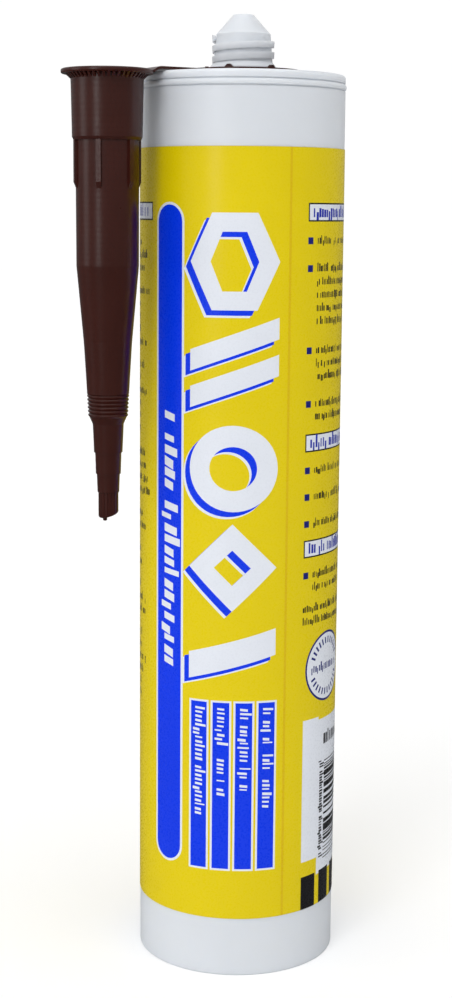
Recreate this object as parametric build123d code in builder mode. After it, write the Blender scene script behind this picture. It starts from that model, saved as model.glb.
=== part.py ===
from build123d import *
import os
from math import cos, degrees, pi, radians, sin, tan

os.makedirs("parts", exist_ok=True)

# A sealant cartridge standing on its open end, with its nozzle hanging beside it.
# Origin: on the cartridge's axis, in the plane of the open end. +Z runs up the axis to the neck,
# and the nozzle hangs on the -X side. Sizes are in millimetres.

# ------------------------------------------------------------------ driving sizes: cartridge
barrel_radius = 24.5          # outside of the tube
barrel_wall = 1.2
barrel_length = 216.5         # open end to the top of the rim
foot_round = 0.25             # outer edge of the open end
mouth_chamfer = 0.3           # inner edge of the open end, leads the plunger in
bore_corner = 1.0             # chamfer inside, between the tube and the shoulder

rim_width = 1.9               # raised ring round the shoulder
rim_round = 0.7
rim_slope = 0.3               # draft on the sides of the ring and of the boss
shoulder_recess = 0.8         # from the top of the rim down to the shoulder
shoulder_thickness = 1.6

bead_drop = 2.15              # from the top of the rim down to the bead
bead_height = 1.25
bead_proud = 0.25
groove_width = 0.35           # fine groove on each side of the bead
groove_depth = 0.3

boss_radius = 11.8            # raised seat round the foot of the neck
neck_foot_radius = 8.0
neck_foot_height = 1.9        # above the seat
neck_flare_height = 1.2
neck_root_radius = 7.0        # at the bottom of the thread
neck_top_radius = 6.5         # where the closed cone begins
neck_height = 9.6             # seat to the start of the cone
neck_wall = 1.1
tip_radius = 2.35             # flat end of the cone, which is cut off before use
tip_height = 4.6
tip_wall = 0.9
tip_round = 0.3
tip_bore_radius = 1.6         # inside, at the flat end

# ------------------------------------------------------------------ driving sizes: thread
thread_pitch = 2.5
thread_crest_radius = 7.4     # of the neck's ridge
thread_root_height = 1.5      # of one ridge, at its root
thread_crest_height = 0.75    # of one ridge, at its crest
thread_start = 2.55           # above the seat
thread_turns = 2.45
thread_start_angle = -128.0   # from +X, seen from above
thread_bite = 0.2             # how far a ridge is rooted in its wall
thread_clearance = 0.2        # between the neck and the socket, at root and crest

# ------------------------------------------------------------------ driving sizes: plunger, fill
plunger_depth = 12.0          # open end to the plunger's skirt
plunger_height = 20.0
plunger_wall = 1.4
plunger_face = 1.8
lip_height = 1.4              # one sealing lip
lip_chamfer = 0.3
lip_clearance = 0.06          # running fit of the lips in the bore
skirt_clearance = 0.5         # between the skirt and the bore
plunger_hub_radius = 6.0
plunger_rib_height = 4.0
plunger_rib_width = 1.0
plunger_rib_count = 8
fill_clearance = 0.1          # between the sealant and the walls round it
plunger_gap = 0.3             # between the plunger's face and the sealant

# ------------------------------------------------------------------ driving sizes: label
label_bottom = 14.6           # above the open end
label_top_margin = 17.2       # below the top of the rim
label_thickness = 0.12
label_glue_gap = 0.02
label_overlap_width = 9.0     # where the two ends of the film lie over each other
label_seam_angle = -93.9      # of the outer layer's free edge, from +X, seen from above

# ------------------------------------------------------------------ driving sizes: nozzle
nozzle_gap = 3.6              # between the barrel and the nozzle's collar
ring_lift = 0.3               # running gap under the ring
ring_thickness = 0.8
ring_gap = 0.75               # between the neck's foot and the ring
ring_width = 5.6
finger_count = 5
finger_reach = 0.45           # how far a finger leans in over the ring's hole
finger_height = 1.1           # above the ring
finger_width = 3.0            # at the ring
finger_tip_width = 0.8
finger_thickness = 0.8
strap_width = 9.0
strap_thickness = 0.6
strap_drop = 1.0              # from the strap's top over the rim down to the flange
strap_bend = 3.0              # length of the bend outside the rim
rim_clearance = 0.1           # between the rim and the start of the bend

flange_radius = 10.6
flange_thickness = 1.1
flange_round = 0.4
gusset_count = 50
gusset_reach = 1.2            # of a gusset, beyond the collar
gusset_height = 1.4
gusset_gap = 0.5              # between two gussets
gusset_root = 0.3             # how far a gusset is rooted in the corner

collar_top_radius = 8.4
collar_bottom_radius = 8.12
collar_length = 14.8          # below the flange
collar_bevel = 0.35
collar_bevel_height = 0.7
body_radius = 7.33
body_bottom_radius = 7.25
body_length = 28.6            # below the collar
grip_rib_count = 6
grip_rib_height = 0.58
grip_rib_width = 1.15
grip_rib_length = 9.5         # full height, below the collar
grip_rib_runout = 1.6
grip_rib_phase = -12.7        # of the first rib, from the strap's line
upper_cone_length = 17.5
upper_cone_radius = 5.66      # at its lower end
lower_cone_length = 12.3
lower_cone_radius = 4.93      # at its lower end
ring_ridge_count = 6
ring_ridge_pitch = 0.9
ring_ridge_depth = 0.28
ring_ridge_slope = 0.35       # share of the pitch taken by each side of a ridge
ring_band_taper = 0.25        # fall of the crests along the band
band_bevel_height = 1.7
step_lengths = (6.7, 5.1, 4.4)
step_top_radii = (3.65, 3.10, 2.72)
step_bottom_radii = (3.36, 2.95, 2.56)
spout_radius = 2.36
spout_length = 5.6            # to the middle of the slanted end
spout_slant = 18.0            # degrees, of the closed end
spout_round = 0.5
spout_wall = 0.85
flute_count = 18
flute_radius = 0.2
flute_depth = 0.14
nub_radius = 0.5
nub_length = 1.0
nub_root = 0.5
nub_round = 0.3
nub_offset = 0.9              # off the nozzle's axis
nozzle_wall = 1.05
socket_depth = 9.5            # threaded part
socket_chamfer = 0.4
socket_seat_radius = 6.95
socket_thread_turns = 2.2
end_wall = 0.9

# ------------------------------------------------------------------ levels and radii that follow
bore_radius = barrel_radius - barrel_wall
shoulder_top = barrel_length - shoulder_recess
shoulder_under = shoulder_top - shoulder_thickness
seat_level = barrel_length
neck_foot_top = seat_level + neck_foot_height
neck_flare_top = neck_foot_top + neck_flare_height
neck_top = seat_level + neck_height
tip_top = neck_top + tip_height
bead_top = barrel_length - bead_drop
bead_bottom = bead_top - bead_height
neck_bore_radius = neck_top_radius - neck_wall
thread_core_radius = neck_top_radius - thread_bite

plunger_top = plunger_depth + plunger_height
lip_radius = bore_radius - lip_clearance
skirt_radius = bore_radius - skirt_clearance
cup_radius = skirt_radius - plunger_wall
plunger_rib_bottom = plunger_top - plunger_face - plunger_rib_height

label_top = barrel_length - label_top_margin
label_inner_radius = barrel_radius + label_glue_gap
label_overlap_angle = degrees(label_overlap_width / label_inner_radius)

nozzle_x = -(barrel_radius + nozzle_gap + collar_top_radius)
ring_bottom = seat_level + ring_lift
ring_top = ring_bottom + ring_thickness
ring_inner_radius = neck_foot_radius + ring_gap
ring_outer_radius = ring_inner_radius + ring_width
ring_middle_radius = ring_inner_radius + ring_width / 2
strap_level = ring_bottom + strap_thickness
bend_start = barrel_radius + rim_clearance
bend_end = bend_start + strap_bend
strap_end = -nozzle_x - collar_top_radius
finger_angles = [180 + 360 * (finger + 0.5) / finger_count for finger in range(finger_count)]
flange_top = strap_level - strap_drop
flange_bottom = flange_top - flange_thickness
collar_bottom = flange_bottom - collar_length
body_bottom = collar_bottom - body_length
upper_cone_bottom = body_bottom - upper_cone_length
band_top = upper_cone_bottom - lower_cone_length
band_bottom = band_top - ring_ridge_count * ring_ridge_pitch
steps_top = band_bottom - band_bevel_height
spout_top = steps_top - sum(step_lengths)
spout_end = spout_top - spout_length
spout_slant_rise = spout_radius * tan(radians(spout_slant))
passage_end = spout_end + spout_slant_rise + end_wall
gusset_width = 2 * pi * collar_top_radius / gusset_count - gusset_gap
gusset_angles = [360 * gusset / gusset_count for gusset in range(gusset_count)]
grip_rib_angles = [grip_rib_phase + 360 * rib / grip_rib_count for rib in range(grip_rib_count)]
socket_radius = thread_crest_radius + thread_clearance
socket_crest_radius = neck_root_radius + thread_clearance
radius_match = 0.01           # tolerance when an edge is picked by its radius


def radial_plane(x, angle):
    """Upright plane through the axis at x: its own x runs outwards at this angle, its y upwards."""
    across, along = cos(radians(angle)), sin(radians(angle))
    return Plane((x, 0, 0), x_dir=(across, along, 0), z_dir=(along, -across, 0))


def tangent_plane(angle, radius):
    """Upright plane that faces outwards at this angle and radius from the cartridge's axis."""
    across, along = cos(radians(angle)), sin(radians(angle))
    return Plane((radius * across, radius * along, 0), x_dir=(-along, across, 0), z_dir=(across, along, 0))


def thread_ridge(start, wall_radius, ridge_radius, turns):
    """Right-handed helical ridge that rises from the start plane, rooted at wall_radius."""
    middle = (wall_radius + ridge_radius) / 2
    with BuildPart() as ridge:
        with BuildLine(start) as path:
            Helix(thread_pitch, thread_pitch * turns, middle)
        with BuildSketch(Plane(path.line @ 0, x_dir=start.x_dir, z_dir=path.line % 0)):
            with BuildLine():
                Polyline(
                    (wall_radius - middle, -thread_root_height / 2),
                    (ridge_radius - middle, -thread_crest_height / 2),
                    (ridge_radius - middle, thread_crest_height / 2),
                    (wall_radius - middle, thread_root_height / 2),
                    close=True,
                )
            make_face()
        sweep(path=path.line, is_frenet=True)
    return ridge.part


# ------------------------------------------------------------------ cartridge
# Tube, shoulder and threaded neck are one moulding. The neck ends in a closed hollow cone.
neck_thread = thread_ridge(
    Plane.XY.offset(seat_level + thread_start).rotated((0, 0, thread_start_angle)),
    thread_core_radius,
    thread_crest_radius,
    thread_turns,
)

with BuildPart() as cartridge:
    with BuildSketch(Plane.XZ):
        with BuildLine():
            Polyline(
                (0, 0),
                (barrel_radius, 0),
                (barrel_radius, barrel_length),
                (barrel_radius - rim_width, barrel_length),
                (barrel_radius - rim_width - rim_slope, shoulder_top),
                (boss_radius + rim_slope, shoulder_top),
                (boss_radius, seat_level),
                (neck_foot_radius, seat_level),
                (neck_foot_radius, neck_foot_top),
                (neck_root_radius, neck_flare_top),
                (neck_top_radius, neck_top),
                (tip_radius, tip_top),
                (0, tip_top),
                close=True,
            )
        make_face()
    revolve(axis=Axis.Z)
    outer_circles = cartridge.edges().filter_by(
        lambda edge: edge.geom_type == GeomType.CIRCLE and abs(edge.radius - barrel_radius) < radius_match
    )
    fillet(outer_circles.sort_by(Axis.Z)[0], foot_round)
    fillet(outer_circles.sort_by(Axis.Z)[-1], rim_round)
    fillet(cartridge.edges().filter_by(GeomType.CIRCLE).sort_by(Axis.Z)[-1], tip_round)

    with BuildSketch(Plane.XZ):
        with BuildLine():
            Polyline(
                (0, 0),
                (bore_radius + mouth_chamfer, 0),
                (bore_radius, mouth_chamfer),
                (bore_radius, shoulder_under - bore_corner),
                (bore_radius - bore_corner, shoulder_under),
                (neck_bore_radius, shoulder_under),
                (neck_bore_radius, neck_top),
                (tip_bore_radius, tip_top - tip_wall),
                (0, tip_top - tip_wall),
                close=True,
            )
        make_face()
    revolve(axis=Axis.Z, mode=Mode.SUBTRACT)

    with BuildSketch(Plane.XZ):
        with BuildLine():
            bead_face = ThreePointArc(
                (barrel_radius, bead_bottom),
                (barrel_radius + bead_proud, (bead_bottom + bead_top) / 2),
                (barrel_radius, bead_top),
            )
            Polyline(
                bead_face @ 1,
                (barrel_radius - groove_depth, bead_top),
                (barrel_radius - groove_depth, bead_bottom),
                bead_face @ 0,
            )
        make_face()
    revolve(axis=Axis.Z)
    with BuildSketch(Plane.XZ):
        with Locations(
            (barrel_radius, bead_top + groove_width / 2),
            (barrel_radius, bead_bottom - groove_width / 2),
        ):
            Rectangle(2 * groove_depth, groove_width)
    revolve(axis=Axis.Z, mode=Mode.SUBTRACT)
    add(neck_thread)

cartridge.part.label = "cartridge"
export_step(cartridge.part, "parts/cartridge.step")

# ------------------------------------------------------------------ plunger
# A cup that opens towards the gun, with a sealing lip at each end and ribs under its face.
with BuildPart() as plunger:
    with BuildSketch(Plane.XY.offset(plunger_depth)):
        Circle(skirt_radius)
    extrude(amount=plunger_height)
    with BuildSketch(Plane.XY.offset(plunger_depth)):
        Circle(cup_radius)
    extrude(amount=plunger_height - plunger_face, mode=Mode.SUBTRACT)
    with BuildSketch(Plane.XY.offset(plunger_depth), Plane.XY.offset(plunger_top - lip_height)):
        Circle(lip_radius)
        Circle(cup_radius + plunger_wall / 2, mode=Mode.SUBTRACT)
    extrude(amount=lip_height)
    lip_edges = plunger.edges().filter_by(
        lambda edge: edge.geom_type == GeomType.CIRCLE and abs(edge.radius - lip_radius) < radius_match
    )
    chamfer(lip_edges, lip_chamfer)
    with BuildSketch(Plane.XY.offset(plunger_rib_bottom)):
        Circle(plunger_hub_radius)
        with PolarLocations(cup_radius / 2, plunger_rib_count):
            Rectangle(cup_radius + plunger_wall / 2, plunger_rib_width)
    extrude(amount=plunger_rib_height)

plunger.part.label = "plunger"
export_step(plunger.part, "parts/plunger.step")

# ------------------------------------------------------------------ sealant
# The fill between the plunger's face and the shoulder, and in the bore of the neck.
with BuildPart() as sealant:
    with BuildSketch(Plane.XZ):
        with BuildLine():
            Polyline(
                (0, plunger_top + plunger_gap),
                (bore_radius - fill_clearance, plunger_top + plunger_gap),
                (bore_radius - fill_clearance, shoulder_under - fill_clearance - bore_corner),
                (bore_radius - fill_clearance - bore_corner, shoulder_under - fill_clearance),
                (neck_bore_radius - fill_clearance, shoulder_under - fill_clearance),
                (neck_bore_radius - fill_clearance, neck_top - fill_clearance),
                (0, neck_top - fill_clearance),
                close=True,
            )
        make_face()
    revolve(axis=Axis.Z)

sealant.part.label = "sealant"
export_step(sealant.part, "parts/sealant.step")

# ------------------------------------------------------------------ label
# Printed film wrapped once round the tube. Its two ends lie over each other at the seam.
with BuildPart() as label:
    with BuildSketch(Plane.XY.offset(label_bottom)):
        Circle(label_inner_radius + label_thickness)
        Circle(label_inner_radius, mode=Mode.SUBTRACT)
        with BuildLine():
            flap_outside = CenterArc(
                (0, 0), label_inner_radius + 2 * label_thickness, label_seam_angle, -label_overlap_angle
            )
            flap_inside = CenterArc(
                (0, 0), label_inner_radius + label_thickness / 2, label_seam_angle, -label_overlap_angle
            )
            Line(flap_outside @ 0, flap_inside @ 0)
            Line(flap_outside @ 1, flap_inside @ 1)
        make_face()
    extrude(amount=label_top - label_bottom)

label.part.label = "label"
export_step(label.part, "parts/label.step")

# ------------------------------------------------------------------ nozzle
# Ring, strap, flange and hollow nozzle are one moulding. The nozzle hangs point down from its flange.
nozzle_section = radial_plane(nozzle_x, 0)
nozzle_axis = Axis((nozzle_x, 0, 0), (0, 0, 1))

ridge_outline = []
for ridge in range(ring_ridge_count):
    ridge_top = band_top - ridge * ring_ridge_pitch
    ridge_crest = lower_cone_radius - ring_band_taper * ridge / (ring_ridge_count - 1)
    ridge_outline += [
        (ridge_crest - ring_ridge_depth, ridge_top),
        (ridge_crest, ridge_top - ring_ridge_slope * ring_ridge_pitch),
        (ridge_crest, ridge_top - (1 - ring_ridge_slope) * ring_ridge_pitch),
    ]

step_outline = []
step_bore_outline = []
step_level = steps_top
for length, top_radius, bottom_radius in zip(step_lengths, step_top_radii, step_bottom_radii):
    step_outline.append((top_radius, step_level))
    step_level -= length
    step_outline.append((bottom_radius, step_level))
    step_bore_outline.append((bottom_radius - spout_wall, step_level))

socket_thread = thread_ridge(
    Plane((nozzle_x, 0, flange_top - socket_depth + thread_root_height)),
    socket_radius + thread_bite,
    socket_crest_radius,
    socket_thread_turns,
)

with BuildPart() as nozzle:
    with BuildSketch(nozzle_section):
        with BuildLine():
            Polyline(
                (0, flange_top),
                (flange_radius, flange_top),
                (flange_radius, flange_bottom),
                (collar_top_radius, flange_bottom),
                (collar_bottom_radius, collar_bottom + collar_bevel_height),
                (collar_bottom_radius - collar_bevel, collar_bottom),
                (body_radius, collar_bottom),
                (body_bottom_radius, body_bottom),
                (upper_cone_radius, upper_cone_bottom),
                (lower_cone_radius, band_top),
                *ridge_outline,
                (ridge_crest - ring_ridge_depth, band_bottom),
                *step_outline,
                (spout_radius, spout_top),
                (spout_radius, spout_end - spout_slant_rise),
                (0, spout_end - spout_slant_rise),
                close=True,
            )
        make_face()
    revolve(axis=nozzle_axis)
    flange_edges = nozzle.edges().filter_by(
        lambda edge: edge.geom_type == GeomType.CIRCLE and abs(edge.radius - flange_radius) < radius_match
    )
    fillet(flange_edges, flange_round)

    # Slanted closed end of the spout, with the mark of the moulding gate on its low side.
    end_plane = Plane((nozzle_x, 0, spout_end)).rotated((0, -spout_slant, 0))
    split(bisect_by=end_plane, keep=Keep.TOP)
    fillet(nozzle.faces().sort_by(Axis.Z)[0].edges(), spout_round)
    with BuildSketch(Plane((nozzle_x - nub_offset, 0, spout_end + nub_root))):
        Circle(nub_radius)
    extrude(amount=-(nub_length + nub_root + spout_slant_rise * nub_offset / spout_radius))
    fillet(nozzle.edges().sort_by(Axis.Z)[0], nub_round)

    with BuildSketch(Plane((nozzle_x, 0, spout_top))):
        with PolarLocations(spout_radius + flute_radius - flute_depth, flute_count):
            Circle(flute_radius)
    extrude(amount=-2 * spout_length, mode=Mode.SUBTRACT)

    # Grip ribs on the body, and small gussets in the corner under the flange.
    with BuildSketch(*[radial_plane(nozzle_x, angle) for angle in grip_rib_angles]):
        with BuildLine():
            Polyline(
                (body_bottom_radius - nozzle_wall / 2, collar_bottom),
                (body_radius + grip_rib_height, collar_bottom),
                (body_radius + grip_rib_height, collar_bottom - grip_rib_length),
                (body_bottom_radius, collar_bottom - grip_rib_length - grip_rib_runout),
                (body_bottom_radius - nozzle_wall / 2, collar_bottom - grip_rib_length - grip_rib_runout),
                close=True,
            )
        make_face()
    extrude(amount=grip_rib_width / 2, both=True)
    with BuildSketch(*[radial_plane(nozzle_x, angle) for angle in gusset_angles]):
        with BuildLine():
            Polyline(
                (collar_top_radius - gusset_root, flange_bottom + gusset_root),
                (collar_top_radius + gusset_reach, flange_bottom + gusset_root),
                (collar_top_radius + gusset_reach, flange_bottom),
                (collar_top_radius - gusset_root, flange_bottom - gusset_height),
                close=True,
            )
        make_face()
    extrude(amount=gusset_width / 2, both=True)

    # Strap: level over the rim, then bent down to the flange.
    with BuildSketch(Plane.XZ):
        with BuildLine():
            strap_top = Bezier(
                (-bend_start, strap_level),
                (-bend_start - strap_bend / 2, strap_level),
                (-bend_end + strap_bend / 2, flange_top),
                (-bend_end, flange_top),
            )
            strap_under = Bezier(
                (-bend_start, ring_bottom),
                (-bend_start - strap_bend / 2, ring_bottom),
                (-bend_end + strap_bend / 2, flange_top - strap_thickness),
                (-bend_end, flange_top - strap_thickness),
            )
            Polyline(
                strap_top @ 0,
                (-ring_middle_radius, strap_level),
                (-ring_middle_radius, ring_bottom),
                strap_under @ 0,
            )
            Polyline(
                strap_top @ 1,
                (-strap_end, flange_top),
                (-strap_end, flange_top - strap_thickness),
                strap_under @ 1,
            )
        make_face()
    extrude(amount=strap_width / 2, both=True)

    with BuildSketch(Plane.XY.offset(ring_bottom)):
        Circle(ring_outer_radius)
    extrude(amount=ring_thickness)
    with BuildSketch(Plane.XY.offset(ring_bottom)):
        Circle(ring_inner_radius)
    extrude(amount=ring_thickness, mode=Mode.SUBTRACT)
    with BuildSketch(*[tangent_plane(angle, ring_inner_radius - finger_reach) for angle in finger_angles]):
        with BuildLine():
            Polyline(
                (-finger_width / 2, ring_bottom),
                (finger_width / 2, ring_bottom),
                (finger_width / 2, ring_top),
                (finger_tip_width / 2, ring_top + finger_height),
                (-finger_tip_width / 2, ring_top + finger_height),
                (-finger_width / 2, ring_top),
                close=True,
            )
        make_face()
    extrude(amount=finger_thickness)

    # Threaded socket, its seat for the cut neck, and the passage down to the spout.
    with BuildSketch(nozzle_section):
        with BuildLine():
            Polyline(
                (0, flange_top),
                (socket_radius + socket_chamfer, flange_top),
                (socket_radius, flange_top - socket_chamfer),
                (socket_radius, flange_top - socket_depth),
                (socket_seat_radius, flange_top - socket_depth),
                (socket_seat_radius, collar_bottom + nozzle_wall),
                (body_radius - nozzle_wall, collar_bottom + nozzle_wall),
                (body_bottom_radius - nozzle_wall, body_bottom),
                (upper_cone_radius - nozzle_wall, upper_cone_bottom),
                (lower_cone_radius - nozzle_wall, band_top),
                (ridge_crest - ring_ridge_depth - nozzle_wall, band_bottom),
                (step_top_radii[0] - nozzle_wall, steps_top),
                *step_bore_outline,
                (spout_radius - spout_wall, passage_end),
                (0, passage_end),
                close=True,
            )
        make_face()
    revolve(axis=nozzle_axis, mode=Mode.SUBTRACT)
    add(socket_thread)

nozzle.part.label = "nozzle"
export_step(nozzle.part, "parts/nozzle.step")
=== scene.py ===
import math

import bpy
from mathutils import Matrix, Vector
from mathutils.geometry import delaunay_2d_cdt


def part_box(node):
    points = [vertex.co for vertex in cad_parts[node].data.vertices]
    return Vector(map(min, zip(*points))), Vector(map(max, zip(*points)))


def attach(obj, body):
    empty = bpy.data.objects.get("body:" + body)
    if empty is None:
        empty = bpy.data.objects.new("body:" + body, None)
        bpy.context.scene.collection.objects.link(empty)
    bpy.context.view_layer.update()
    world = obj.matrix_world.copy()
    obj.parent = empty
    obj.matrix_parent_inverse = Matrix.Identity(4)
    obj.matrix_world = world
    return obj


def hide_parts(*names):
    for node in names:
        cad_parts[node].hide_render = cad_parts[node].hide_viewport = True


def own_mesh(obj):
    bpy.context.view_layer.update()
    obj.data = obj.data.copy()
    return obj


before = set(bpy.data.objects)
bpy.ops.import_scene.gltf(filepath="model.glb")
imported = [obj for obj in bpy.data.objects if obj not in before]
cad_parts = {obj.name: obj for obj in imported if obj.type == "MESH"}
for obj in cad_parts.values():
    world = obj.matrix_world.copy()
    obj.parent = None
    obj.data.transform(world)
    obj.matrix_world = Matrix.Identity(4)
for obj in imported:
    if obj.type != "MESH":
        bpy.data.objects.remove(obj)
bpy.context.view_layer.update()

# A sealant cartridge with its printed film, its plunger and fill, and the nozzle that hangs beside it.
# The film's artwork is drawn flat, in millimetres: x runs to the right from the film's free edge, and z
# up from the cartridge's open end. Then it is wrapped on the tube.
mm = 0.001

# ------------------------------------------------------------------ driving sizes: film
seam_angle = math.radians(-93.9)     # of the film's free edge, from +X
overlap = 9.0                        # where the film lies double
overlap_ramp = 3.5                   # over which the outer layer comes down again
seam_shade_width = 0.6                      # darker yellow line along the free edge: painted shade of the flap's edge
wrap_step = 2.0                      # degrees between two upright lines of the film's mesh
weld_epsilon = 0.0001                # mm, within which two corners of the artwork are one
artwork_decimals = 4                 # so that marks side by side share their corners

label_low, label_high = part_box("label")
film_radius = label_high.x / mm
flap_rise = -label_low.y / mm - film_radius
film_thickness = 0.95 * flap_rise    # leaves a hair between the two layers
film_bottom = label_low.z / mm
film_top = label_high.z / mm
film_round = 2 * math.pi * film_radius

# ------------------------------------------------------------------ driving sizes: artwork
bar_x = -30.4                        # upright bar with rounded ends
bar_width = 7.8
bar_bottom = 27.6
bar_top = 186.1
bar_outline = 0.6
bar_text_top = 138.2
bar_text_length = 62.6
bar_text_foot = 1.4                  # left of the bar's middle

sign_x = -13.5                       # big white signs beside the bar
sign_width = 21.3
sign_stroke = 5.0
sign_pair_gap = 1.2                  # the second sign is two bars, one over the other
sign_pair_ease = 1.0
diamond_stroke = 1.25 * sign_stroke
last_bar_stroke = 1.3 * sign_stroke
last_bar_lean = 0.4                  # share of its height
sign_levels = (                      # middle and height of each
    (173.2, 25.7), (149.9, 19.5), (125.2, 20.4), (101.6, 21.0), (80.6, 15.4),
)
shadow_shift = (-1.3, -1.2)
shadow_outline = 0.5

column_first_x = -21.45              # blue columns under the signs
column_pitch = 5.53
column_width = 4.07
column_bottom = 27.3
column_top = 68.8
column_outline = 0.47
column_text_lengths = (27.5, 22.5, 22.0, 27.0)
column_text_foot = 0.9               # left of the column's middle
column_text_inset = 1.3

panel_x = 4.75                       # text panel to the right of the seam
panel_indent = 3.1
panel_text_width = 24.0
panel_row_pitch = 3.07
bullet_size = 1.6
bullet_drop = 0.1
heading_height = 4.3
heading_outline = 0.35
heading_indent = 1.6
heading_foot = 1.0

letter_pitch = 0.62                  # small print
letter_width = 0.42
letter_height = 1.45
tall_growth = 0.45                   # share by which a tall mark is higher than the others
low_drop = 0.3                       # share of its height by which a low mark hangs under its row

seal_x = 14.6
seal_z = 75.1
seal_radius = 8.75
seal_ring = 0.55
seal_spoke_step = 12                 # degrees between two marks of its wreath
seal_spoke_free = (0, 12, 168)       # where the line across leaves no room for a mark
seal_spoke_length = 1.6
seal_spoke_width = 0.56
seal_spoke_inset = 2.6
seal_line_length = 13.2
seal_line_drop = 0.8

code_fields = ((5.35, 26.8, 11.2, 62.8), (11.1, 22.3, 40.0, 62.0))   # left, bottom, right, top
code_left = 14.2
code_width = 22.0
code_top = 51.3
code_length = 25.9
code_module = 0.27
code_text_shift = 2.2                # to the left of the bars
code_number_shift = 0.5
code_number_rise = 4.0
code_number_length = 20.0

print_square_first = 5.39            # dark squares on the film's lower edge
print_square_pitch = 6.9
print_square_width = 5.1
print_square_height = 8.4
print_square_count = 6

rough_spread = 0.05                  # either way, within one finish
turning_pitch = 1.3                  # rings that the turned mould leaves on the nozzle, coarse enough to show
turning_depth = 0.005
turning_waver = 2.5
wave_bands_per_unit = 20 / (2 * math.pi)     # of Blender's wave texture at a scale of 1

# The text panels: left edge, width, headings as (foot, width) and paragraphs as (first row's foot, rows,
# bulleted).
front_panel = (
    panel_x,
    panel_indent + panel_text_width,
    ((182.4, 26.0), (128.5, 27.0), (103.0, 24.0)),
    (
        (177.3, 1, True), (170.9, 5, True), (151.8, 3, True), (139.2, 2, True), (123.4, 1, True),
        (117.0, 1, True), (110.5, 1, True), (98.0, 2, True), (89.7, 2, False),
    ),
)
back_panel = (
    46.0,
    28.0,
    ((182.4, 20.0), (118.0, 24.0)),
    (
        (176.6, 7, False), (152.0, 4, True), (137.0, 5, True), (112.4, 6, False), (91.0, 5, True),
        (73.0, 8, False),
    ),
)
left_panel = (
    -73.0,
    35.0,
    ((182.4, 36.2),),
    (
        (176.6, 3, False), (165.0, 5, False), (147.2, 6, False), (126.0, 4, False), (111.0, 5, False),
        (93.0, 3, False), (81.0, 6, False),
    ),
)


# ------------------------------------------------------------------ nodes and materials
def add_node(tree, kind, settings=None, inputs=None):
    """Adds a node with its settings. Each input takes a plain value or another node's output."""
    node = tree.nodes.new(kind)
    for name, value in (settings or {}).items():
        setattr(node, name, value)
    for name, value in (inputs or {}).items():
        if isinstance(value, bpy.types.NodeSocket):
            tree.links.new(value, node.inputs[name])
        else:
            node.inputs[name].default_value = value
    return node


def linear(hex_colour):
    """Linear colour of an sRGB hex value."""
    channels = [int(hex_colour[place:place + 2], 16) / 255 for place in (1, 3, 5)]
    return [c / 12.92 if c <= 0.04045 else ((c + 0.055) / 1.055) ** 2.4 for c in channels] + [1.0]


def polymer(name, light, deep, *, rough, grain, grain_depth, wave, wave_depth, ior, gloss=0.5):
    """Plastic whose colour drifts between two close tones. Grain, wave and their depths are in mm.

    The grain is drawn coarser than a real mould's or film's, which wouldn't show from here.
    """
    material = bpy.data.materials.new(name)
    material.use_nodes = True
    tree = material.node_tree
    shader = tree.nodes["Principled BSDF"]
    shader.inputs["IOR"].default_value = ior
    shader.inputs["Specular IOR Level"].default_value = gloss
    place = add_node(tree, "ShaderNodeTexCoord").outputs["Object"]
    drift = add_node(
        tree, "ShaderNodeTexNoise", None, {"Vector": place, "Scale": 1 / (wave * mm), "Detail": 3.0}
    )
    tone = add_node(
        tree, "ShaderNodeMix", {"data_type": "RGBA"}, {0: drift.outputs[0], 6: linear(light), 7: linear(deep)}
    )
    fine = add_node(
        tree, "ShaderNodeTexNoise", None, {"Vector": place, "Scale": 1 / (grain * mm), "Detail": 2.0}
    )
    sheen = add_node(
        tree,
        "ShaderNodeMapRange",
        None,
        {"Value": fine.outputs[0], "To Min": rough - rough_spread, "To Max": rough + rough_spread},
    )
    swell = add_node(tree, "ShaderNodeBump", None, {"Height": drift.outputs[0], "Distance": wave_depth * mm})
    relief = add_node(
        tree,
        "ShaderNodeBump",
        None,
        {"Height": fine.outputs[0], "Distance": grain_depth * mm, "Normal": swell.outputs["Normal"]},
    )
    tree.links.new(tone.outputs[2], shader.inputs["Base Color"])
    tree.links.new(sheen.outputs["Result"], shader.inputs["Roughness"])
    tree.links.new(relief.outputs["Normal"], shader.inputs["Normal"])
    return material


def hdpe_white():
    """High-density polyethylene from a polished mould: cool white, satin, and a little light goes in."""
    material = polymer(
        "hdpe_moulded_white",
        "#d7dbe0",
        "#d0d4da",
        rough=0.38,
        grain=0.8,
        grain_depth=0.006,
        wave=22,
        wave_depth=0.05,
        ior=1.54,
        gloss=0.4,
    )
    shader = material.node_tree.nodes["Principled BSDF"]
    shader.inputs["Subsurface Weight"].default_value = 0.7
    shader.inputs["Subsurface Radius"].default_value = (1.0, 0.95, 0.9)
    shader.inputs["Subsurface Scale"].default_value = 2.5 * mm
    return material


def ldpe_brown():
    """Moulded low-density polyethylene, dark reddish brown, with faint rings left by the turned mould."""
    material = polymer(
        "ldpe_moulded_dark_brown",
        "#3a140c",
        "#300e07",
        rough=0.30,
        grain=0.7,
        grain_depth=0.008,
        wave=14,
        wave_depth=0.06,
        ior=1.51,
        gloss=0.35,
    )
    tree = material.node_tree
    shader = tree.nodes["Principled BSDF"]
    place = tree.nodes["Texture Coordinate"].outputs["Object"]
    rings = add_node(
        tree,
        "ShaderNodeTexWave",
        {"bands_direction": "Z"},
        {
            "Vector": place,
            "Scale": 1 / (wave_bands_per_unit * turning_pitch * mm),
            "Distortion": turning_waver,
            "Detail": 2.0,
            "Detail Scale": 0.4,
        },
    )
    turned_relief = add_node(
        tree,
        "ShaderNodeBump",
        None,
        {
            "Height": rings.outputs["Fac"],
            "Distance": turning_depth * mm,
            "Normal": shader.inputs["Normal"].links[0].from_socket,
        },
    )
    tree.links.new(turned_relief.outputs["Normal"], shader.inputs["Normal"])
    return material


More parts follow.
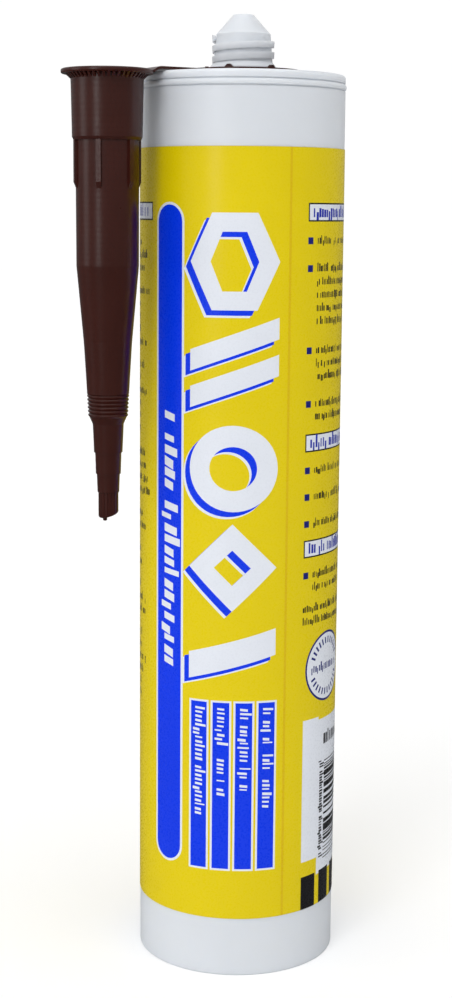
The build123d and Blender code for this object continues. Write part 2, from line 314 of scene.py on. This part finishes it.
def ldpe_natural():
    """Moulded low-density polyethylene with no pigment: milky white and waxy."""
    return polymer(
        "ldpe_moulded_natural",
        "#e9e9e4",
        "#dfdfd8",
        rough=0.45,
        grain=0.8,
        grain_depth=0.008,
        wave=18,
        wave_depth=0.05,
        ior=1.51,
    )


def acrylic_paste():
    """Acrylic sealant pressed against the walls: a smooth, wet white paste."""
    return polymer(
        "acrylic_paste_pressed",
        "#f1efe9",
        "#e8e5dd",
        rough=0.28,
        grain=3.0,
        grain_depth=0.12,
        wave=16,
        wave_depth=0.4,
        ior=1.48,
    )


def film_ink(name, light, deep):
    """Polypropylene film, printed and stretched on the tube: smooth and glossy, with faint long ripples."""
    return polymer(
        name,
        light,
        deep,
        rough=0.28,
        grain=0.5,
        grain_depth=0.002,
        wave=15,
        wave_depth=0.03,
        ior=1.49,
        gloss=0.24,
    )


inks = {
    # The darker yellow below is painted shade along the film's free edge, where the flap's edge would shade
    # the film.
    "edge_shade": film_ink("polypropylene_film_painted_edge_shade", "#d1b206", "#caab04"),
    "yellow": film_ink("polypropylene_film_printed_yellow", "#d9c305", "#d2bc03"),
    "blue": film_ink("polypropylene_film_printed_blue", "#0136e2", "#0131d4"),
    "white": film_ink("polypropylene_film_printed_white", "#d9dde5", "#d2d6de"),
    "violet": film_ink("polypropylene_film_printed_violet", "#1b2ca4", "#172795"),
    "navy": film_ink("polypropylene_film_printed_navy", "#151f74", "#121b68"),
    "black": film_ink("polypropylene_film_printed_black", "#1c1c1e", "#171719"),
}


# ------------------------------------------------------------------ small print, made by a node tree
def build_print_tree():
    """Rows of upright marks with gaps between them, which stand for print too small to read."""
    tree = bpy.data.node_groups.new("greeked_print", "GeometryNodeTree")
    tree.interface.new_socket("Geometry", in_out="OUTPUT", socket_type="NodeSocketGeometry")
    kinds = {"Rows": "NodeSocketInt", "Seed": "NodeSocketInt", "Ink": "NodeSocketMaterial"}
    row_names = ("Rows", "Row Length", "Row Pitch", "Gap Share", "Ragged")
    mark_names = ("Mark Pitch", "Mark Width", "Width Spread", "Mark Height", "Height Spread")
    sockets = {}
    for name in (*row_names, *mark_names, "Tall Share", "Low Share", "Slant", "Seed", "Ink"):
        socket = tree.interface.new_socket(
            name, in_out="INPUT", socket_type=kinds.get(name, "NodeSocketFloat")
        )
        sockets[name] = socket.identifier
    given = add_node(tree, "NodeGroupInput").outputs

    def number(operation, first, second=0.0):
        return add_node(tree, "ShaderNodeMath", {"operation": operation}, {0: first, 1: second}).outputs[0]

    def chance(share, draw):
        """True for this share of the marks."""
        seed = number("ADD", given["Seed"], float(draw))
        return add_node(
            tree,
            "FunctionNodeRandomValue",
            {"data_type": "BOOLEAN"},
            {"Probability": share, "ID": index, "Seed": seed},
        ).outputs[3]

    def between(low, high, draw, owner):
        """A number of its own for each mark or row."""
        seed = number("ADD", given["Seed"], float(draw))
        return add_node(
            tree,
            "FunctionNodeRandomValue",
            {"data_type": "FLOAT"},
            {2: low, 3: high, "ID": owner, "Seed": seed},
        ).outputs[1]

    per_row = number("FLOOR", number("DIVIDE", given["Row Length"], given["Mark Pitch"]))
    line = add_node(tree, "GeometryNodeMeshLine", None, {"Count": number("MULTIPLY", per_row, given["Rows"])})
    index = add_node(tree, "GeometryNodeInputIndex").outputs[0]
    column = number("FLOORED_MODULO", index, per_row)
    row = number("FLOOR", number("DIVIDE", index, per_row))
    low_mark_drop = number("MULTIPLY", given["Mark Height"], -low_drop)
    drop = number("MULTIPLY", chance(given["Low Share"], 3), low_mark_drop)
    level = number("MULTIPLY", row, number("MULTIPLY", given["Row Pitch"], -1.0))
    corner = add_node(
        tree,
        "ShaderNodeCombineXYZ",
        None,
        {"X": number("MULTIPLY", column, given["Mark Pitch"]), "Y": number("ADD", level, drop)},
    )
    placed = add_node(
        tree, "GeometryNodeSetPosition", None, {"Geometry": line.outputs[0], "Position": corner.outputs[0]}
    )
    row_end = between(number("SUBTRACT", 1.0, given["Ragged"]), 1.0, 0, row)
    past_end = number("GREATER_THAN", column, number("MULTIPLY", row_end, per_row))
    left_out = add_node(
        tree, "FunctionNodeBooleanMath", {"operation": "OR"}, {0: chance(given["Gap Share"], 0), 1: past_end}
    )
    kept = add_node(
        tree,
        "GeometryNodeDeleteGeometry",
        None,
        {"Geometry": placed.outputs[0], "Selection": left_out.outputs[0]},
    )
    stretch = number("ADD", 1.0, number("MULTIPLY", chance(given["Tall Share"], 7), tall_growth))
    squat = between(number("SUBTRACT", 1.0, given["Height Spread"]), 1.0, 5, index)
    height = number("MULTIPLY", given["Mark Height"], number("MULTIPLY", stretch, squat))
    narrowest = number("SUBTRACT", 1.0, given["Width Spread"])
    widest = number("ADD", 1.0, given["Width Spread"])
    width = number("MULTIPLY", given["Mark Width"], between(narrowest, widest, 9, index))
    square = add_node(
        tree, "GeometryNodeMeshGrid", None, {"Size X": 1.0, "Size Y": 1.0, "Vertices X": 2, "Vertices Y": 2}
    )
    upright = add_node(
        tree,
        "GeometryNodeTransform",
        None,
        {"Geometry": square.outputs[0], "Translation": (0.5, 0.5, 0.0)},
    )
    place = add_node(tree, "GeometryNodeInputPosition").outputs[0]
    rise = add_node(tree, "ShaderNodeSeparateXYZ", None, {"Vector": place}).outputs["Y"]
    lean = add_node(tree, "ShaderNodeCombineXYZ", None, {"X": number("MULTIPLY", rise, given["Slant"])})
    slanted = add_node(
        tree, "GeometryNodeSetPosition", None, {"Geometry": upright.outputs[0], "Offset": lean.outputs[0]}
    )
    scale = add_node(tree, "ShaderNodeCombineXYZ", None, {"X": width, "Y": height, "Z": 1.0})
    marks = add_node(
        tree,
        "GeometryNodeInstanceOnPoints",
        None,
        {"Points": kept.outputs[0], "Instance": slanted.outputs[0], "Scale": scale.outputs[0]},
    )
    solid = add_node(tree, "GeometryNodeRealizeInstances", None, {"Geometry": marks.outputs[0]})
    inked = add_node(
        tree, "GeometryNodeSetMaterial", None, {"Geometry": solid.outputs[0], "Material": given["Ink"]}
    )
    add_node(tree, "NodeGroupOutput", None, {"Geometry": inked.outputs[0]})
    return tree, sockets


print_tree, print_sockets = build_print_tree()
artwork = []                         # (ink, outline), in the order of printing


def paint(ink, outline):
    """Prints a closed outline on the flat film. Right of the seam it goes to the film's other end."""
    turn = film_round if max(x for x, z in outline) > 0 else 0
    printed_outline = [(round(x - turn, artwork_decimals), round(z, artwork_decimals)) for x, z in outline]
    artwork.append((ink, printed_outline))


def small_print(ink, x, z, length, rows=1, pitch=panel_row_pitch, size=1.0, reading_down=False, **changes):
    """A block of marks whose first row starts at x, z. Reading down, its rows run towards the open end."""
    sizes = {
        "Rows": rows,
        "Row Length": length,
        "Row Pitch": pitch,
        "Mark Pitch": letter_pitch * size,
        "Mark Width": letter_width * size,
        "Mark Height": letter_height * size,
        "Width Spread": 0.35,
        "Height Spread": 0.2,
        "Tall Share": 0.25,
        "Low Share": 0.12,
        "Gap Share": 0.13,
        "Ragged": 0.25 if rows > 1 else 0.0,
        "Slant": 0.0,
        "Seed": len(artwork),
        "Ink": inks[ink],
    }
    sizes.update({name.replace("_", " ").title(): value for name, value in changes.items()})
    carrier = bpy.data.objects.new("print_block", bpy.data.meshes.new("print_block"))
    bpy.context.scene.collection.objects.link(carrier)
    modifier = carrier.modifiers.new("print", "NODES")
    modifier.node_group = print_tree
    for name, value in sizes.items():
        modifier[print_sockets[name]] = value
    bpy.context.view_layer.update()
    mesh = bpy.data.meshes.new_from_object(carrier.evaluated_get(bpy.context.evaluated_depsgraph_get()))
    bpy.data.objects.remove(carrier)
    for polygon in mesh.polygons:
        corners = [mesh.vertices[corner].co for corner in polygon.vertices]
        if reading_down:
            paint(ink, [(x + corner.y, z - corner.x) for corner in corners])
        else:
            paint(ink, [(x + corner.x, z + corner.y) for corner in corners])
    bpy.data.meshes.remove(mesh)


# ------------------------------------------------------------------ artwork
def rectangle(x, z, width, height):
    """Corners, anticlockwise from the lower left one."""
    return [(x, z), (x + width, z), (x + width, z + height), (x, z + height)]


def arc(x, z, radius_x, radius_z, start, end, steps):
    """Points of an elliptical arc, from one angle to another in degrees."""
    angles = [math.radians(start + (end - start) * step / steps) for step in range(steps + 1)]
    return [(x + radius_x * math.cos(angle), z + radius_z * math.sin(angle)) for angle in angles]


def disc(x, z, radius, corners=48):
    """Outline of a disc around x, z."""
    return arc(x, z, radius, radius, 0, 360 - 360 / corners, corners - 1)


def frame_halves(x, z, width, height, stroke, corners):
    """Upper and lower half of a closed frame: a diamond, a hexagon or, with many corners, a ring."""
    halves = []
    for start in (0, 180):
        outside = arc(x, z, width / 2, height / 2, start, start + 180, corners // 2)
        inside = arc(x, z, width / 2 - stroke, height / 2 - stroke, start + 180, start, corners // 2)
        halves.append(outside + inside)
    return halves


def slanted_bar(x, z, width, height, lean):
    """Bar around x, z whose right end stands higher than its left end by the lean."""
    return [
        (x - width / 2, z - height / 2 - lean / 2),
        (x + width / 2, z - height / 2 + lean / 2),
        (x + width / 2, z + height / 2 + lean / 2),
        (x - width / 2, z + height / 2 - lean / 2),
    ]


def paint_bar():
    """Upright blue bar with a white outline and slanted marks down its middle."""
    for ink, width, grow in (("white", bar_width + 2 * bar_outline, bar_outline), ("blue", bar_width, 0)):
        end = width / 2
        upper = arc(bar_x, bar_top + grow - end, end, end, 0, 180, 16)
        lower = arc(bar_x, bar_bottom - grow + end, end, end, 180, 360, 16)
        paint(ink, upper + lower)
    small_print(
        "white",
        bar_x - bar_text_foot,
        bar_text_top,
        bar_text_length,
        size=2.35,
        reading_down=True,
        mark_pitch=2.7,
        mark_width=1.65,
        slant=0.5,
        gap_share=0.1,
    )


def paint_signs():
    """Big plain signs in white, each over its blue shadow."""
    levels = iter(sign_levels)
    z, height = next(levels)
    signs = [frame_halves(sign_x, z, sign_width, height, sign_stroke, 6)]
    z, height = next(levels)
    step = height / 2 - sign_pair_gap
    lean = step - sign_pair_ease
    signs.append(
        [slanted_bar(sign_x, z + side * step / 2, sign_width, sign_stroke, lean) for side in (1, -1)]
    )
    z, height = next(levels)
    signs.append(frame_halves(sign_x, z, sign_width, height, sign_stroke, 48))
    z, height = next(levels)
    signs.append(frame_halves(sign_x, z, sign_width, height, diamond_stroke, 4))
    z, height = next(levels)
    signs.append([slanted_bar(sign_x, z, sign_width, last_bar_stroke, last_bar_lean * height)])
    outline_shift = [shift * (1 + shadow_outline / abs(shift)) for shift in shadow_shift]
    for sign in signs:
        for ink, (across, up) in (("white", outline_shift), ("blue", shadow_shift), ("white", (0, 0))):
            for outline in sign:
                paint(ink, [(x + across, z + up) for x, z in outline])


def paint_columns():
    """Blue columns with a white outline, each with a line of marks down its upper part."""
    for column, text_length in enumerate(column_text_lengths):
        x = column_first_x + column * column_pitch
        left, height = x - column_width / 2, column_top - column_bottom
        edge = column_outline
        wide, high = column_width + 2 * edge, height + 2 * edge
        paint("white", rectangle(left - edge, column_bottom - edge, wide, high))
        paint("blue", rectangle(left, column_bottom, column_width, height))
        small_print(
            "white",
            x - column_text_foot,
            column_top - column_text_inset,
            text_length,
            size=1.35,
            reading_down=True,
            mark_pitch=1.05,
            mark_width=0.5,
            slant=0.3,
            gap_share=0.12,
        )


def paint_heading(x, z, width):
    """White box with a dark outline and a line of bold marks."""
    edge = heading_outline
    paint("black", rectangle(x, z, width, heading_height))
    paint("white", rectangle(x + edge, z + edge, width - 2 * edge, heading_height - 2 * edge))
    length = width - 2 * heading_indent
    small_print("violet", x + heading_indent, z + heading_foot, length, size=1.5, mark_width=0.62)


def paint_paragraph(x, z, rows, width, bulleted):
    """Rows of small print, the first one's foot at z, with a square bullet on its left."""
    if bulleted:
        paint("navy", rectangle(x, z - bullet_drop, bullet_size, bullet_size))
    indent = panel_indent if bulleted else 0
    small_print("black", x + indent, z, width - indent, rows)


def paint_panel(x, width, headings, paragraphs):
    """Boxed headings, and the rows of small print between them."""
    for z, heading_width in headings:
        paint_heading(x, z, heading_width)
    for z, rows, bulleted in paragraphs:
        paint_paragraph(x, z, rows, width, bulleted)


def paint_seal():
    """Round seal: a white disc with a blue edge, a wreath of marks and a line across."""
    paint("navy", disc(seal_x, seal_z, seal_radius))
    face_radius = seal_radius - seal_ring
    paint("white", disc(seal_x, seal_z, face_radius))
    middle = Vector((seal_x, seal_z))
    for angle in range(0, 360, seal_spoke_step):
        if angle % 180 in seal_spoke_free:
            continue
        radial = Matrix.Rotation(math.radians(angle), 2)
        mark = rectangle(
            face_radius - seal_spoke_inset, -seal_spoke_width / 2, seal_spoke_length, seal_spoke_width
        )
        paint("navy", [tuple(radial @ Vector(point) + middle) for point in mark])
    line_x, line_z = seal_x - seal_line_length / 2, seal_z - seal_line_drop
    small_print("navy", line_x, line_z, seal_line_length, size=1.2, mark_width=0.45)


def paint_code():
    """White field with a ladder of bars and the marks beside it."""
    for left, bottom, right, top in code_fields:
        paint("white", rectangle(left, bottom, right - left, top - bottom))
    small_print(
        "black",
        code_left,
        code_top,
        code_length,
        reading_down=True,
        mark_pitch=code_module,
        mark_width=code_module,
        mark_height=code_width,
        gap_share=0.5,
        width_spread=0.0,
        height_spread=0.0,
        tall_share=0.0,
        low_share=0.0,
    )
    beside = code_left - code_text_shift
    small_print("black", beside, code_top, code_length, size=1.1, reading_down=True, gap_share=0.1)
    number_x, number_z = code_left - code_number_shift, code_top + code_number_rise
    small_print("black", number_x, number_z, code_number_length, size=1.9, gap_share=0.1)


def paint_seam_shade():
    """Darker yellow line down the free edge: painted shade, standing in for the thin shadow of the flap's
    edge.
    """
    artwork.append(("edge_shade", rectangle(-seam_shade_width, film_bottom, seam_shade_width, film_top - film_bottom)))


def paint_squares():
    """Dark squares that the film's lower edge cuts through."""
    for square in range(print_square_count):
        left = print_square_first + square * print_square_pitch
        paint("black", rectangle(left, film_bottom, print_square_width, print_square_height))


paint_bar()
paint_signs()
paint_columns()
paint_panel(*front_panel)
paint_seal()
paint_code()
paint_squares()
paint_seam_shade()
paint_panel(*back_panel)
paint_panel(*left_panel)


# ------------------------------------------------------------------ label
def triangulate(points, edges, faces):
    """Triangles of a flat drawing: their corners, and for each triangle the drawing's faces under it."""
    corners, _, triangles, _, _, under = delaunay_2d_cdt(points, edges, faces, 1, weld_epsilon)
    return corners, triangles, under


def film_place(x, z, depth):
    """Place on the tube of a point of the flat film, this deep under its outer face."""
    over = min(max((x + overlap + overlap_ramp) / overlap_ramp, 0), 1)
    radius = film_radius + flap_rise * over * over * (3 - 2 * over) - depth
    angle = seam_angle + x / film_radius
    return Vector((radius * math.cos(angle), radius * math.sin(angle), z)) * mm


def upright_lines(left, right):
    """Places of the lines that let the flat film follow the tube."""
    count = round((right - left) / (film_radius * math.radians(wrap_step)))
    return [left + (right - left) * line / count for line in range(1, count)]


def build_label():
    """The film as one closed sheet, its outer face cut along the edges of the artwork."""
    left = -film_round - overlap
    points = [Vector(corner) for corner in rectangle(left, film_bottom, -left, film_top - film_bottom)]
    faces = [list(range(4))]
    for _, outline in artwork:
        faces.append(list(range(len(points), len(points) + len(outline))))
        points += [Vector(corner) for corner in outline]
    edges = []
    for x in upright_lines(left, 0):
        edges.append((len(points), len(points) + 1))
        points += [Vector((x, film_bottom)), Vector((x, film_top))]
    corners, triangles, under = triangulate(points, edges, faces)

    rim = [
        number for number, corner in enumerate(corners)
        if min(corner.x - left, -corner.x, corner.y - film_bottom, film_top - corner.y) < weld_epsilon
    ]
    rim_number = {number: place for place, number in enumerate(rim)}
    inner_of = {number: len(corners) + place for number, place in rim_number.items()}
    column_edges = {}
    for number in rim:
        column_edges.setdefault(round(corners[number].x, 3), []).append(rim_number[number])
    inner_edges = [tuple(ends) for ends in column_edges.values() if len(ends) == 2]
    rim_points = [corners[number] for number in rim]
    around = sorted(range(len(rim)), key=lambda place: outline_place(rim_points[place], left))
    _, inner_triangles, _ = triangulate(rim_points, inner_edges, [around])

    ink_names = list(inks)
    printed = ["yellow"] + [ink for ink, _ in artwork]
    vertices = [film_place(*corner, 0) for corner in corners]
    vertices += [film_place(*corner, film_thickness) for corner in rim_points]
    outer = [tuple(triangle) for triangle in triangles]
    inner = [tuple(len(corners) + corner for corner in reversed(triangle)) for triangle in inner_triangles]
    sides = []
    for here, there in zip(around, around[1:] + around[:1]):
        sides.append((rim[there], rim[here], inner_of[rim[here]], inner_of[rim[there]]))
    mesh = bpy.data.meshes.new("label_film")
    mesh.from_pydata(vertices, [], outer + inner + sides)
    for ink in ink_names:
        mesh.materials.append(inks[ink])
    for polygon, faces_under in zip(mesh.polygons, under):
        polygon.material_index = ink_names.index(printed[max(faces_under)])
    for polygon in mesh.polygons[len(outer):]:
        polygon.material_index = ink_names.index("white")

    unrolled = mesh.uv_layers.new(name="film")
    flat = list(corners) + rim_points
    for loop in mesh.loops:
        x, z = flat[loop.vertex_index]
        unrolled.data[loop.index].uv = ((x - left) / -left, (z - film_bottom) / -left)
    normals = []
    for polygon in mesh.polygons:
        for corner in polygon.vertices:
            radial = Vector((*vertices[corner].xy, 0)).normalized()
            turned_out = radial if polygon.index < len(outer) else polygon.normal
            normals.append(turned_out)
    mesh.normals_split_custom_set(normals)
    label = bpy.data.objects.new("label_film", mesh)
    bpy.context.scene.collection.objects.link(label)
    return label


def outline_place(point, left):
    """Sorts the points of the film's rim anticlockwise, starting at its lower left corner."""
    x, z = point
    if z - film_bottom < weld_epsilon:
        return (0, x)
    if -x < weld_epsilon:
        return (1, z)
    if film_top - z < weld_epsilon:
        return (2, -x)
    return (3, -z)


# ------------------------------------------------------------------ fill
def turned(name, profile, segments=96):
    """Closed body of revolution. The profile runs up from the axis and back to it, in metres."""
    vertices, rings = [], []
    for radius, z in profile:
        count = segments if radius > 0 else 1
        rings.append(range(len(vertices), len(vertices) + count))
        angles = [2 * math.pi * step / segments for step in range(count)]
        vertices += [(radius * math.cos(angle), radius * math.sin(angle), z) for angle in angles]
    faces = []
    for lower, upper in zip(rings, rings[1:]):
        for step in range(segments):
            after = (step + 1) % segments
            corners = [lower[step % len(lower)], lower[after % len(lower)]]
            corners += [upper[after % len(upper)], upper[step % len(upper)]]
            faces.append(tuple(dict.fromkeys(corners)))
    mesh = bpy.data.meshes.new(name)
    mesh.from_pydata(vertices, [], faces)
    mesh.shade_smooth()
    body = bpy.data.objects.new(name, mesh)
    bpy.context.scene.collection.objects.link(body)
    return body


fill_low, fill_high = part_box("sealant")
neck_fill_radius = 5.3 * mm
neck_fill_bottom = 214.05 * mm
fill_parting = 0.05 * mm             # between the fill in the barrel and the fill in the neck
shoulder_slope = 1.0 * mm
dish_radius = 8 * mm                 # of the slight dish in the fill's lower face
dish_depth = 0.4 * mm
dish_rim_depth = 0.1 * mm
bevel_across = 0.6 * mm              # where the lower face meets the wall
bevel_up = 0.5 * mm
tip_foot = 1.2 * mm                  # under the top of the neck's fill, where it starts to round in
tip_head = 0.3 * mm                  # and where it has come in to this share of its radius
tip_share = 0.7

sealant_barrel = turned(
    "sealant_barrel",
    (
        (0, fill_low.z + dish_depth),
        (dish_radius, fill_low.z + dish_rim_depth),
        (fill_high.x - bevel_across, fill_low.z),
        (fill_high.x, fill_low.z + bevel_up),
        (fill_high.x, neck_fill_bottom - shoulder_slope),
        (fill_high.x - shoulder_slope, neck_fill_bottom - fill_parting),
        (0, neck_fill_bottom - fill_parting),
    ),
)
sealant_neck = turned(
    "sealant_neck",
    (
        (0, neck_fill_bottom),
        (neck_fill_radius, neck_fill_bottom),
        (neck_fill_radius, fill_high.z - tip_foot),
        (tip_share * neck_fill_radius, fill_high.z - tip_head),
        (0, fill_high.z),
    ),
)
for piece in (sealant_barrel, sealant_neck):
    piece.data.materials.append(acrylic_paste())
    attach(piece, "cartridge")
    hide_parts("sealant")
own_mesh(sealant_barrel)

label = build_label()
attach(label, "cartridge")
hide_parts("label")

# ------------------------------------------------------------------ finishes of the moulded parts
for node, material in (("cartridge", hdpe_white()), ("nozzle", ldpe_brown()), ("plunger", ldpe_natural())):
    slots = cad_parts[node].data.materials
    slots.clear()
    slots.append(material)


# ------------------------------------------------------------------ floor, light and camera
floor_reach = 4.9                    # metres either way
backdrop_radius = 5.0
backdrop_angles = (-1.2, -0.6, 0, 0.6, 1.2)     # radians above the horizon


def pale_floor():
    """Plain floor. The cartridge's gloss doesn't mirror it."""
    material = bpy.data.materials.new("pale_matt_floor")
    material.use_nodes = True
    shader = material.node_tree.nodes["Principled BSDF"]
    shader.inputs["Base Color"].default_value = linear("#fefefe")
    shader.inputs["Roughness"].default_value = 0.8
    corners = rectangle(-floor_reach, -floor_reach, 2 * floor_reach, 2 * floor_reach)
    mesh = bpy.data.meshes.new("floor")
    mesh.from_pydata([(x, y, 0) for x, y in corners], [], [(0, 1, 2, 3)])
    mesh.materials.append(material)
    floor = bpy.data.objects.new("floor", mesh)
    bpy.context.scene.collection.objects.link(floor)
    floor.visible_glossy = False


def soft_sun(name, azimuth, elevation, spread, strength):
    """Even light from a wide part of the sky, in degrees. Azimuth 0 is on the -Y side, as the camera's."""
    lamp = bpy.data.lights.new(name, "SUN")
    lamp.angle = math.radians(spread)
    lamp.energy = strength
    light = bpy.data.objects.new(name, lamp)
    a, e = math.radians(azimuth), math.radians(elevation)
    away = Vector((math.sin(a) * math.cos(e), -math.cos(a) * math.cos(e), math.sin(e)))
    light.rotation_euler = away.to_track_quat("Z", "Y").to_euler()
    bpy.context.scene.collection.objects.link(light)


def soft_surroundings(above, below):
    """Even light from the upper half of the room. The lower half is dim, and only gloss picks it up."""
    world = bpy.data.worlds.new("soft_surroundings")
    world.use_nodes = True
    tree = world.node_tree
    direction = add_node(tree, "ShaderNodeTexCoord").outputs["Generated"]
    height = add_node(tree, "ShaderNodeSeparateXYZ", None, {"Vector": direction}).outputs["Z"]
    strength = add_node(
        tree,
        "ShaderNodeMapRange",
        None,
        {"Value": height, "From Min": -0.05, "From Max": 0.25, "To Min": below, "To Max": above},
    )
    background = tree.nodes["Background"]
    background.inputs["Color"].default_value = linear("#ffffff")
    tree.links.new(strength.outputs["Result"], background.inputs["Strength"])
    bpy.context.scene.world = world


def white_backdrop():
    """Far white shell behind everything. It is only seen, and neither lights nor shades the cartridge."""
    material = bpy.data.materials.new("white_backdrop")
    material.use_nodes = True
    shader = material.node_tree.nodes["Principled BSDF"]
    shader.inputs["Base Color"].default_value = linear("#000000")
    shader.inputs["Emission Color"].default_value = linear("#ffffff")
    shader.inputs["Emission Strength"].default_value = 1.0
    profile = [(backdrop_radius * math.cos(a), backdrop_radius * math.sin(a)) for a in backdrop_angles]
    backdrop = turned("backdrop", profile + [(0, backdrop_radius)])
    backdrop.data.materials.append(material)
    backdrop.visible_diffuse = False
    backdrop.visible_glossy = False
    backdrop.visible_shadow = False


camera_azimuth = -31.74              # degrees; 0 is on the -Y side, and it turns towards +X
camera_distance = 0.43345            # from the cartridge's axis
camera_height = 0.18484
camera_pitch = 9.264                 # degrees below the horizon
camera_yaw = 0.435
camera_roll = 0.45
lens_to_long_side = 1.7738           # focal length over the picture's long side


def add_camera():
    """Camera a little under the cartridge's top, looking slightly down at it."""
    camera = bpy.data.objects.new("camera", bpy.data.cameras.new("camera"))
    azimuth = math.radians(camera_azimuth)
    camera.data.lens = lens_to_long_side * camera.data.sensor_width
    camera.data.clip_start = 0.01
    camera.location = (
        camera_distance * math.sin(azimuth), -camera_distance * math.cos(azimuth), camera_height
    )
    heading = Matrix.Rotation(math.radians(camera_azimuth + camera_yaw), 3, "Z")
    tilt = Matrix.Rotation(math.radians(90 - camera_pitch), 3, "X")
    roll = Matrix.Rotation(math.radians(camera_roll), 3, "Z")
    camera.rotation_euler = (heading @ tilt @ roll).to_euler()
    bpy.context.scene.collection.objects.link(camera)
    bpy.context.scene.camera = camera


pale_floor()
white_backdrop()
soft_surroundings(above=0.68, below=0.12)
soft_sun("key_left", camera_azimuth - 24, elevation=35, spread=30, strength=0.7)
soft_sun("strip_left", camera_azimuth - 30, elevation=6, spread=12, strength=0.25)
soft_sun("side_left", camera_azimuth - 80, elevation=8, spread=24, strength=0.25)
soft_sun("top", camera_azimuth + 20, elevation=75, spread=60, strength=0.9)
add_camera()
bpy.context.scene.view_settings.view_transform = "Standard"
